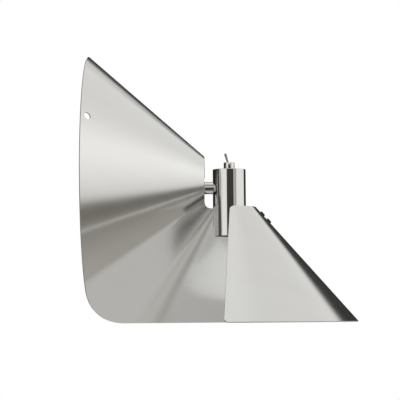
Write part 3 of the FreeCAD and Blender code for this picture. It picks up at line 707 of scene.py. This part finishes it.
@dataclass
class Shade:
    """The shade: the bent disc with its slit, its rim hole and its two screw holes."""

    bend: Bend
    blank_radius: float
    sheet: float
    hole_radius: float = 38 * MM
    corner: float = 5 * MM
    edge: float = 0.22 * MM
    rim_hole: tuple[float, float, float] = (191.6 * MM, math.radians(63.5), 3.75 * MM)
    screw_reaches: tuple[float, float] = (48.5 * MM, 58.5 * MM)
    screw_hole: float = 1.7 * MM
    column_step: float = math.radians(0.75)
    least_column: float = 2e-4
    row_count: int = 19
    collar: float = 1.6
    points: list[Vector] = field(default_factory=list)
    normals: list[Vector] = field(default_factory=list)
    blanks: list[tuple[float, float, float]] = field(default_factory=list)
    faces: list[list[int]] = field(default_factory=list)

    def holes(self) -> list[Hole]:
        """Places the round holes.

        Returns:
            Every round hole of the sheet.
        """
        reach, azimuth, radius = self.rim_hole
        found = [Hole(reach, self.bend.turn_of_wall(azimuth), radius)]
        front = self.bend.turn_of_lower(0.0)
        return found + [Hole(reach, front, self.screw_hole) for reach in self.screw_reaches]

    def columns(self) -> list[float]:
        """Places the mesh's straight lines, closer together at corners and holes.

        Returns:
            Their angles on the blank.
        """
        total = self.bend.total_turn
        turns = set(np.arange(0, total, self.column_step).tolist()) | {total}
        turns |= {self.bend.lower_turn, self.bend.lower_turn + self.bend.web_turn}
        for part in np.linspace(0, math.pi / 2, 9)[1:]:
            for radius in (self.blank_radius, self.hole_radius):
                near = self.corner / radius * (1 - math.cos(part))
                turns |= {near, total - near}
        for hole in self.holes():
            span = self.collar * hole.radius / hole.reach
            turns |= set((hole.turn + np.linspace(-span, span, 9)).tolist())
        ordered = sorted(turns)
        kept = [ordered[0]]
        for turn in ordered[1:]:
            if turn - kept[-1] > self.least_column:
                kept.append(turn)
        kept[-1] = total
        return kept

    def rows(self) -> list[float]:
        """Places the mesh's rings, closer together at holes.

        Returns:
            Their distances from the blank's centre.
        """
        ends = (self.hole_radius, self.blank_radius)
        reaches = set(np.linspace(*ends, self.row_count).tolist())
        for hole in self.holes():
            span = self.collar * hole.radius
            reaches = {r for r in reaches if abs(r - hole.reach) > 1.25 * span or r in ends}
            reaches |= set((hole.reach + np.linspace(-span, span, 9)).tolist())
        return sorted(reaches)

    def limits(self, turn: float) -> tuple[float, float, float, float]:
        """Finds where a straight line of the blank starts and ends between the rounded corners.

        Args:
            turn: the line's blank angle.

        Returns:
            Its start, its end, and the angle of each corner's arc there (90 degrees past it).
        """
        near = min(turn, self.bend.total_turn - turn)
        angles = []
        for radius in (self.hole_radius, self.blank_radius):
            depth = min(near * radius / self.corner, 1.0)
            angles.append(math.acos(1 - depth))
        drop = [self.corner * (1 - math.sin(a)) for a in angles]
        return self.hole_radius + drop[0], self.blank_radius - drop[1], angles[0], angles[1]

    def add(self, reach: float, turn: float, lift: float, normal: Optional[Vector]) -> int:
        """Adds a vertex.

        Args:
            reach: distance from the blank's centre.
            turn: angle on the blank.
            lift: distance off the middle of the sheet.
            normal: its shading normal, or None for the sheet's own.

        Returns:
            The vertex's number.
        """
        ruling, up = self.bend.ruling(turn)
        self.points.append(self.bend.apex + ruling * reach + up * lift)
        self.normals.append(normal if normal is not None else up * math.copysign(1, lift))
        self.blanks.append((reach * math.cos(turn), reach * math.sin(turn), lift))
        return len(self.points) - 1

    def edge_strip(self, outline: Sequence[tuple[float, float, float, float]],
                   tops: Sequence[int], bottoms: Sequence[int]) -> None:
        """Closes the sheet's edge with a wall and two small roundings.

        Args:
            outline: reach, turn and outward direction (in reach and across) of each point.
            tops: the upper face's vertices along it.
            bottoms: the lower face's vertices along it.
        """
        walls = ([], [])
        for reach, turn, out_reach, out_across in outline:
            ruling, up = self.bend.ruling(turn)
            across = ruling.cross(up)
            step = self.bend.ruling(turn + 1e-4)[0] - ruling
            if across.dot(step) < 0:
                across = -across
            outward = (ruling * out_reach + across * out_across).normalized()
            for side, wall in zip((1, -1), walls):
                wall.append(self.add(reach, turn, side * (self.sheet / 2 - self.edge), outward))
        rings = [list(tops), walls[0], walls[1], list(bottoms)]
        for upper, lower in zip(rings, rings[1:]):
            count = len(upper)
            for k in range(count):
                n = (k + 1) % count
                self.faces.append([upper[k], lower[k], lower[n], upper[n]])

    def build(self) -> bpy.types.Object:
        """Makes the bent sheet.

        Returns:
            The object, which stands for its CAD node.
        """
        turns, reaches = self.columns(), self.rows()
        count, height = len(turns), len(reaches)
        span = self.blank_radius - self.hole_radius
        grid = {}
        rim = {}
        for j, turn in enumerate(turns):
            low, high, low_arc, high_arc = self.limits(turn)
            side = -1 if turn < self.bend.total_turn / 2 else 1
            for i, reach in enumerate(reaches):
                reach = low + (reach - self.hole_radius) / span * (high - low)
                out_reach = out_across = 0.0
                if i == 0:
                    out_reach, out_across = -math.sin(low_arc), side * math.cos(low_arc)
                elif i == height - 1:
                    out_reach, out_across = math.sin(high_arc), side * math.cos(high_arc)
                elif j in (0, count - 1):
                    out_across = float(side)
                inner_reach = reach - out_reach * self.edge
                inner_turn = turn - out_across * self.edge / reach
                grid[j, i] = tuple(self.add(inner_reach, inner_turn, s * self.sheet / 2, None)
                                   for s in (1, -1))
                rim[j, i] = (reach, turn, out_reach, out_across)
        skipped = set()
        for hole in self.holes():
            skipped |= self.punch(hole, turns, reaches, grid)
        for j in range(count - 1):
            for i in range(height - 1):
                if (j, i) not in skipped:
                    ring = [(j, i), (j, i + 1), (j + 1, i + 1), (j + 1, i)]
                    self.faces.append([grid[k][0] for k in ring])
                    self.faces.append([grid[k][1] for k in ring][::-1])
        loop = ([(0, i) for i in range(height)] + [(j, height - 1) for j in range(1, count)] +
                [(count - 1, i) for i in range(height - 2, -1, -1)] +
                [(j, 0) for j in range(count - 2, 0, -1)])
        self.edge_strip([rim[k] for k in loop], [grid[k][0] for k in loop],
                        [grid[k][1] for k in loop])
        made = piece("shade_sheet", np.array(self.points), self.faces, Slot.brushed_steel)
        self.finish_mesh(made.data)
        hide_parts("shade")
        return made

    def punch(self, hole: Hole, turns: Sequence[float], reaches: Sequence[float],
              grid: Mapping[tuple[int, int], tuple[int, int]]) -> set[tuple[int, int]]:
        """Leaves a round hole in the grid.

        Args:
            hole: the hole.
            turns: the columns' blank angles.
            reaches: the rows' distances.
            grid: the vertices by column and row.

        Returns:
            The grid's cells that the hole and its collar take.
        """
        span = 1.01 * self.collar * hole.radius
        columns = [j for j, t in enumerate(turns) if abs(t - hole.turn) * hole.reach <= span]
        rows = [i for i, r in enumerate(reaches) if abs(r - hole.reach) <= span]
        j0, j1, i0, i1 = columns[0], columns[-1], rows[0], rows[-1]
        loop = ([(j0, i) for i in range(i0, i1)] + [(j, i1) for j in range(j0, j1)] +
                [(j1, i) for i in range(i1, i0, -1)] + [(j, i0) for j in range(j1, j0, -1)])
        tops, bottoms, outline = [], [], []
        for j, i in loop:
            across = (turns[j] - hole.turn) * hole.reach
            along = reaches[i] - hole.reach
            size = math.hypot(across, along)
            across, along = across / size, along / size
            radius = hole.radius + self.edge
            place = (hole.reach + along * radius, hole.turn + across * radius / hole.reach)
            tops.append(self.add(*place, self.sheet / 2, None))
            bottoms.append(self.add(*place, -self.sheet / 2, None))
            outline.append((hole.reach + along * hole.radius,
                            hole.turn + across * hole.radius / hole.reach, -along, -across))
        count = len(loop)
        for k in range(count):
            n = (k + 1) % count
            a, b = grid[loop[k]], grid[loop[n]]
            self.faces.append([a[0], b[0], tops[n], tops[k]])
            self.faces.append([bottoms[k], bottoms[n], b[1], a[1]])
        self.edge_strip(outline[::-1], tops[::-1], bottoms[::-1])
        return {(j, i) for j in range(j0, j1) for i in range(i0, i1)}

    def finish_mesh(self, mesh: bpy.types.Mesh) -> None:
        """Gives the sheet its exact normals and its places on the flat blank.

        Args:
            mesh: the sheet's mesh.
        """
        mesh.normals_split_custom_set_from_vertices([tuple(n) for n in self.normals])
        places = mesh.attributes.new(Bend.BLANK_PLACE, "FLOAT_VECTOR", "POINT")
        places.data.foreach_set("vector", np.array(self.blanks, dtype=np.float32).ravel())


# ---- housing and stem ------------------------------------------------------------------
@dataclass(frozen=True)
class Housing:
    """The polished tube, closed on top, and the stem that carries it."""

    axis_x: float
    radius: float = 17.5 * MM
    wall: float = 1.5 * MM
    top: float = 19.5 * MM
    bottom: float = -51.5 * MM
    edge: float = 0.6 * MM
    stem_radius: float = 6.5 * MM
    stem_start: float = 26.6 * MM
    stem_bore: float = 5.1 * MM
    stem_gap: float = 0.1 * MM
    burr: float = 0.3 * MM

    def build(self) -> list[bpy.types.Object]:
        """Makes the housing and the stem.

        Returns:
            Both objects, each standing for its CAD node.
        """
        inner = self.radius - self.wall
        ceiling = self.top - self.wall
        profile = rounded([
            (0, ceiling, 0), (inner, ceiling, 0.5 * MM), (inner, self.bottom, self.burr),
            (self.radius, self.bottom, self.edge), (self.radius, self.top, self.edge),
            (0, self.top, 0)])
        tube = turned("housing_tube", profile, Axis(Vector((self.axis_x, 0, 0)), UP),
                      Slot.polished_steel, 192)
        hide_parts("housing")
        return [tube, self.stem()]

    def stem(self) -> bpy.types.Object:
        """Makes the stem, its outer end shaped to the housing.

        Returns:
            The object, which stands for its CAD node.
        """
        reach = self.axis_x - self.stem_start
        profile = [(self.stem_bore, reach), (self.stem_bore, 0), (self.stem_radius - self.burr, 0),
                   (self.stem_radius, self.burr), (self.stem_radius, 4 * MM),
                   (self.stem_radius, reach)]
        tube = turned("stem_bar", profile, Axis(Vector((self.stem_start, 0, 0)), OUT),
                      Slot.polished_steel, 96)
        seat = self.radius + self.stem_gap
        for vertex in tube.data.vertices:
            if vertex.co.x > self.axis_x - 1e-5:
                vertex.co.x = self.axis_x - math.sqrt(seat ** 2 - vertex.co.y ** 2)
        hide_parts("stem_tube")
        return tube


# ---- canopy and switch -----------------------------------------------------------------
@dataclass(frozen=True)
class Canopy:
    """The spun cup on the wall, with a hole for the stem's nipple."""

    radius: float = 48 * MM
    depth: float = 26 * MM
    wall: float = 1.2 * MM
    edge: float = 3 * MM
    burr: float = 0.3 * MM
    start: float = 0.5 * MM
    bore: float = 5.2 * MM

    def build(self) -> bpy.types.Object:
        """Makes the cup.

        Returns:
            The object, which stands for its CAD node.
        """
        inner, floor = self.radius - self.wall, self.depth - self.wall
        profile = rounded([
            (self.bore, floor, 0), (inner, floor, self.edge - self.wall), (inner, 0, self.burr),
            (self.radius, 0, self.burr), (self.radius, self.depth, self.edge),
            (self.bore, self.depth, 0)])
        cup = turned("canopy_cup", profile, Axis(Vector((self.start, 0, 0)), OUT),
                     Slot.brushed_steel, 160, SPUN_STEEL, closed=True)
        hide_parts("canopy")
        return cup


@dataclass(frozen=True)
class Switch:
    """What shows of the toggle switch: its round dress nut and its bat lever."""

    axis_x: float
    base: float = 19.5 * MM
    nut_radius: float = 5.75 * MM
    nut_height: float = 7.5 * MM
    nut_bore: float = 3.1 * MM
    mouth: float = 2.85 * MM
    lip: float = 0.6 * MM
    chamfer: float = 0.5 * MM
    slot_half: float = 0.9 * MM
    slot_depth: float = 0.552 * MM
    pivot: float = 22.5 * MM
    tilt: float = math.radians(16)
    length: float = 15 * MM
    ball: float = 2.05 * MM
    neck: float = 0.95 * MM
    tip: float = 1.3 * MM
    tail: float = 3.4 * MM
    tail_edge: float = 0.2 * MM

    def nut(self) -> bpy.types.Object:
        """Makes the dress nut with its two spanner slots.

        Returns:
            The object, which stands for its CAD node.
        """
        top, rim = self.nut_height, self.nut_radius
        profile = [
            (self.nut_bore, 0), (rim - self.chamfer, 0), (rim, self.chamfer),
            (rim, top - self.chamfer), (rim - self.chamfer, top), (self.mouth, top),
            (self.mouth, top - self.lip), (self.nut_bore, top - self.lip)]
        nut = turned("dress_nut", profile, Axis(Vector((self.axis_x, 0, self.base)), UP),
                     Slot.polished_nickel, 120, closed=True)
        slot_floor = self.base + top - self.slot_depth
        for vertex in nut.data.vertices:
            if abs(vertex.co.x - self.axis_x) < self.slot_half and vertex.co.z > slot_floor:
                vertex.co.z = slot_floor
        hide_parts("switch_dress_nut")
        return nut

    def lever(self) -> bpy.types.Object:
        """Makes the lever on its ball, tilted to its rest side.

        Returns:
            The object, which stands for its CAD node.
        """
        crossing = math.acos(self.neck / self.ball)
        ball = [(self.ball * math.cos(a), self.ball * math.sin(a))
                for a in np.linspace(-crossing, crossing, 13)]
        end = self.length - self.tip
        tip = [(self.tip * math.cos(a), end + self.tip * math.sin(a))
               for a in np.linspace(0, math.pi / 2, 7)[:-1]]
        profile = [(0, -self.tail), (self.neck - self.tail_edge, -self.tail),
                   (self.neck, self.tail_edge - self.tail)]
        profile += ball + tip + [(0, self.length)]
        way = Vector((-math.sin(self.tilt), 0, math.cos(self.tilt)))
        lever = turned("bat_lever", profile, Axis(Vector((self.axis_x, 0, self.pivot)), way),
                       Slot.polished_nickel, 48, LEVER_NICKEL)
        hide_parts("switch_lever")
        return lever


# ---- studio ----------------------------------------------------------------------------
@dataclass(frozen=True)
class Patch:
    """A soft-edged region of the studio, by direction from the object."""

    azimuth: float
    elevation: float
    half_width: float
    half_height: float
    softness: float
    colour: Colour

    def mask(self, graph: Graph, x: Socket, y: Socket, height: Socket) -> Socket:
        """Finds how much of a direction lies in the patch.

        Args:
            graph: the world's nodes.
            x: the direction's x.
            y: its y.
            height: its elevation in degrees.

        Returns:
            1 inside the patch and 0 outside.
        """
        turn = math.radians(self.azimuth)
        level = (x * x + y * y) ** 0.5
        facing = (x * math.sin(turn) - y * math.cos(turn)) / graph.math("MAXIMUM", level, 1e-4)
        aside = graph.math("ARCCOSINE", graph.math("MINIMUM", facing, 1.0)) * math.degrees(1)
        off = abs(height - self.elevation)
        soft = self.softness
        return (aside.step(self.half_width + soft, self.half_width - soft) *
                off.step(self.half_height + soft, self.half_height - soft))


@dataclass(frozen=True)
class Studio:
    """The camera, the light round the object and the pale floor far below it."""

    eye: Vector = Vector((0.14393, -1.75024, -0.14023))
    pitch: float = math.radians(4.171)
    yaw: float = math.radians(-0.806)
    roll: float = math.radians(-0.438)
    lens: float = 148.71
    floor_place: Vector = Vector((0.14, 0, -1.0))
    floor_radius: float = 0.55
    floor_thickness: float = 0.01
    floor_tone: Colour = (0.9, 0.9, 0.9)
    floor_white: float = 0.85
    card_place: Vector = Vector((168 * MM, 66 * MM, -200 * MM))
    card_size: tuple[float, float] = (40 * MM, 62 * MM)
    card_spread: float = math.radians(90.0)
    card_power: float = 0.0006

    LEVELS = (
        (-90, (0.55, 0.54, 0.52)), (-44, (0.54, 0.53, 0.51)), (-36, (0.36, 0.35, 0.32)),
        (-29, (0.29, 0.28, 0.25)), (-24, (0.23, 0.22, 0.195)), (-18, (0.15, 0.14, 0.125)),
        (-14, (0.16, 0.15, 0.135)), (-11.5, (0.55, 0.54, 0.52)), (-9, (0.76, 0.75, 0.73)),
        (0, (0.86, 0.855, 0.84)), (8, (0.94, 0.935, 0.92)), (15, (1.0, 0.995, 0.98)),
        (23, (1.02, 1.015, 1.0)), (30, (0.93, 0.925, 0.91)), (37, (0.82, 0.815, 0.80)),
        (45, (0.77, 0.765, 0.75)), (74, (0.76, 0.755, 0.74)), (84, (0.84, 0.835, 0.82)),
    )
    PATCHES = (
        Patch(154, -36, 20, 15, 3, (0.55, 0.54, 0.525)),
        Patch(138, -64, 20, 9, 4, (0.06, 0.058, 0.05)),
        Patch(115, -49, 6, 4, 3, (0.28, 0.275, 0.26)),
        Patch(163, 35, 9, 9, 4, (0.72, 0.715, 0.70)),
        Patch(140, 12, 18, 19, 3, (0.03, 0.03, 0.03)),
        Patch(173, 10, 18, 17, 3, (0.03, 0.03, 0.03)),
        Patch(-64, 2, 12, 34, 3, (0.48, 0.48, 0.47)),
        Patch(-128, -8, 53, 58, 4, (0.02, 0.02, 0.02)),
        Patch(5, 45, 50, 22, 6, (0.32, 0.32, 0.31)),
        Patch(42, 4, 8, 24, 3, (0.42, 0.40, 0.39)),
        Patch(-20, -38, 44, 17, 4, (0.09, 0.085, 0.08)),
        Patch(6.5, -8, 24.5, 19, 3, (0.05, 0.048, 0.045)),
    )

    def camera(self) -> None:
        """Makes the camera at the portrait's viewing angle."""
        level = Vector((math.sin(self.yaw), math.cos(self.yaw), 0))
        ahead = level * math.cos(self.pitch) + UP * math.sin(self.pitch)
        right = Vector((math.cos(self.yaw), -math.sin(self.yaw), 0))
        up = right.cross(ahead)
        right, up = (right * math.cos(self.roll) + up * math.sin(self.roll),
                     up * math.cos(self.roll) - right * math.sin(self.roll))
        data = bpy.data.cameras.new("portrait")
        data.lens = self.lens
        data.clip_start, data.clip_end = 0.05, 50.0
        made = bpy.data.objects.new("portrait", data)
        made.matrix_world = Matrix((
            (right.x, up.x, -ahead.x, self.eye.x), (right.y, up.y, -ahead.y, self.eye.y),
            (right.z, up.z, -ahead.z, self.eye.z), (0, 0, 0, 1)))
        bpy.context.scene.collection.objects.link(made)
        bpy.context.scene.camera = made

    def world(self) -> None:
        """Makes the light: levels by elevation, with soft patches, and white to the camera."""
        world = bpy.data.worlds.new("studio")
        world.use_nodes = True
        bpy.context.scene.world = world
        graph = Graph(world.node_tree)
        way = graph.vector("NORMALIZE", graph.node("ShaderNodeTexCoord", output="Generated"))
        x, y, z = graph.parts(way)
        height = graph.math("ARCSINE", z) * math.degrees(1)
        colour = graph.node("ShaderNodeValToRGB", {
            "stops": [((level + 90) / 180, shade) for level, shade in self.LEVELS]},
            {0: (height + 90) / 180})
        for patch in self.PATCHES:
            colour = graph.mix(patch.mask(graph, x, y, height), colour, patch.colour)
        seen = graph.node("ShaderNodeLightPath", output="Is Camera Ray")
        colour = graph.mix(seen, colour, (1.0, 1.0, 1.0))
        light = graph.node("ShaderNodeBackground", inputs={"Color": colour, "Strength": 1.0})
        graph.end("ShaderNodeOutputWorld", light)

    def floor(self) -> None:
        """Makes the pale floor."""
        profile = [(0, -self.floor_thickness), (self.floor_radius, -self.floor_thickness),
                   (self.floor_radius, 0), (0, 0)]
        made = turned("floor", profile, Axis(self.floor_place, UP), Slot.white_nylon, 96)
        material = bpy.data.materials.new("floor_pale")
        material.use_nodes = True
        graph = Graph(material.node_tree)
        plain = graph.node("ShaderNodeBsdfDiffuse", inputs={"Color": self.floor_tone})
        white = graph.node("ShaderNodeEmission", inputs={"Color": (1.0, 1.0, 1.0), "Strength": 1.0})
        seen = graph.node("ShaderNodeLightPath", output="Is Camera Ray")
        both = graph.node("ShaderNodeMixShader",
                          inputs={0: seen * self.floor_white, 1: plain, 2: white})
        graph.end("ShaderNodeOutputMaterial", both)
        made.data.materials[0] = material

    def card(self) -> None:
        """Makes the small bright card under the shade that shows as a pale patch inside it."""
        data = bpy.data.lights.new("card", "AREA")
        data.shape = "RECTANGLE"
        data.size, data.size_y = self.card_size
        data.energy = self.card_power
        data.spread = self.card_spread
        made = bpy.data.objects.new("card", data)
        made.matrix_world = Matrix.Translation(self.card_place) @ Matrix.Rotation(math.pi, 4, "X")
        bpy.context.scene.collection.objects.link(made)
        made.visible_camera = False

    def build(self) -> None:
        """Makes the whole studio."""
        self.camera()
        self.world()
        self.floor()
        self.card()
        bpy.context.scene.view_settings.view_transform = "Standard"


def dress_nodes() -> None:
    """Gives each CAD node that still shows the finish of its slot."""
    slots = {row["node"]: row["material_slot"] for row in frame["record"]["subparts"]}
    for name, node in frame["nodes"].items():
        finish = Slot[slots[name]].value
        for index in range(len(node.data.materials)):
            node.material_slots[index].link = "OBJECT"
            node.material_slots[index].material = finish.material()


@dataclass(frozen=True)
class Layout:
    """The sizes that several pieces share: how the sheet bends, and where the housing stands."""

    blank_radius: float = 200 * MM
    sheet: float = 1.5 * MM
    half_angle: float = math.radians(41.4)
    overrun: float = math.radians(3.9)
    slit: float = math.radians(0.7)
    wall_gap: float = 2 * MM
    apex_height: float = 7.6 * MM
    setback: float = 2 * MM

    @property
    def apex_x(self) -> float:
        """Where the cones' apex lies in front of the wall."""
        reach = self.blank_radius * math.cos(self.half_angle)
        return self.wall_gap + reach + self.sheet / 2 * math.sin(self.half_angle)

    @property
    def axis_x(self) -> float:
        """Where the housing's axis lies in front of the wall."""
        return self.apex_x - self.setback

    @property
    def bend(self) -> Bend:
        """The map from the flat blank to the bent sheet."""
        apex = Vector((self.apex_x, 0, self.apex_height))
        return Bend(apex, self.half_angle, self.overrun, self.slit)


def main() -> None:
    """Builds every piece in order and reports each."""
    logging.basicConfig(level=logging.INFO, format="%(name)s: %(message)s")
    layout = Layout()
    dress_nodes()
    shade = Shade(layout.bend, layout.blank_radius, layout.sheet).build()
    switch = Switch(layout.axis_x)
    fixed = [shade, Canopy().build(), switch.nut()] + Housing(layout.axis_x).build()
    for made, body in [(made, "fixture") for made in fixed] + [(switch.lever(), "lever")]:
        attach(made, body)
        LOG.info("%s: %d faces", made.name, len(made.data.polygons))
    Studio().build()


if __name__ == "__main__":
    main()
